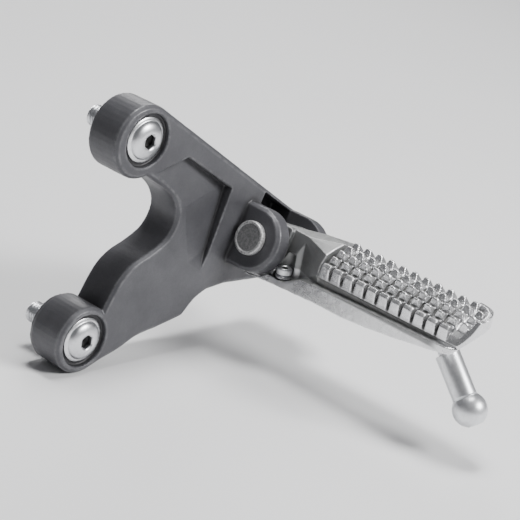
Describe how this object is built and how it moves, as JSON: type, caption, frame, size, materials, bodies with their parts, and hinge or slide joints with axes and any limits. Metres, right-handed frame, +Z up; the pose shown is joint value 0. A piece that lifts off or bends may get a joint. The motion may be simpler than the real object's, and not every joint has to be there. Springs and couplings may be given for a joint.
{
  "type": "folding foot peg with hanger bracket",
  "caption": "Folding rider's foot peg with a toothed tread, return spring and feeler bolt, hinged on a cast V-shaped hanger bracket that bolts to the frame.",
  "frame": {"origin": "on the upper mounting bolt's axis, in the plane where the bracket seats on the frame", "axes": "+X aft, +Y inboard towards the motorcycle, +Z up; the peg stands out along -Y"},
  "size_m": [0.1467, 0.1786, 0.1225],
  "materials": {
    "dark_casting": "satin dark grey paint over a sand-cast surface",
    "bright_casting": "bare tumbled casting, slightly dull, worn bright on the tooth tips",
    "zinc_steel": "bright zinc plate",
    "dark_steel": "dark phosphated steel with a bright worn rim",
    "spring_steel": "oiled spring wire"
  },
  "bodies": {
    "bracket": {"hanger_bracket": "dark_casting", "upper_mount_bolt": "zinc_steel", "lower_mount_bolt": "zinc_steel", "clevis_pin": "dark_steel", "pin_washer": "zinc_steel", "split_pin": "zinc_steel"},
    "peg": {"peg_casting": "bright_casting", "return_spring": "spring_steel", "spring_screw": "zinc_steel", "feeler_bolt": "zinc_steel"}
  },
  "joints": [
    {"name": "peg_fold", "type": "hinge", "parent": "bracket", "child": "peg", "pos_m": [0.0858, -0.0296, -0.056], "axis": [-0.9511, 0, 0.309], "range_deg": [0, 73], "stiffness_Nm_per_rad": 0.3, "springref_deg": -74.48, "deforming": ["return_spring"]}
  ]
}
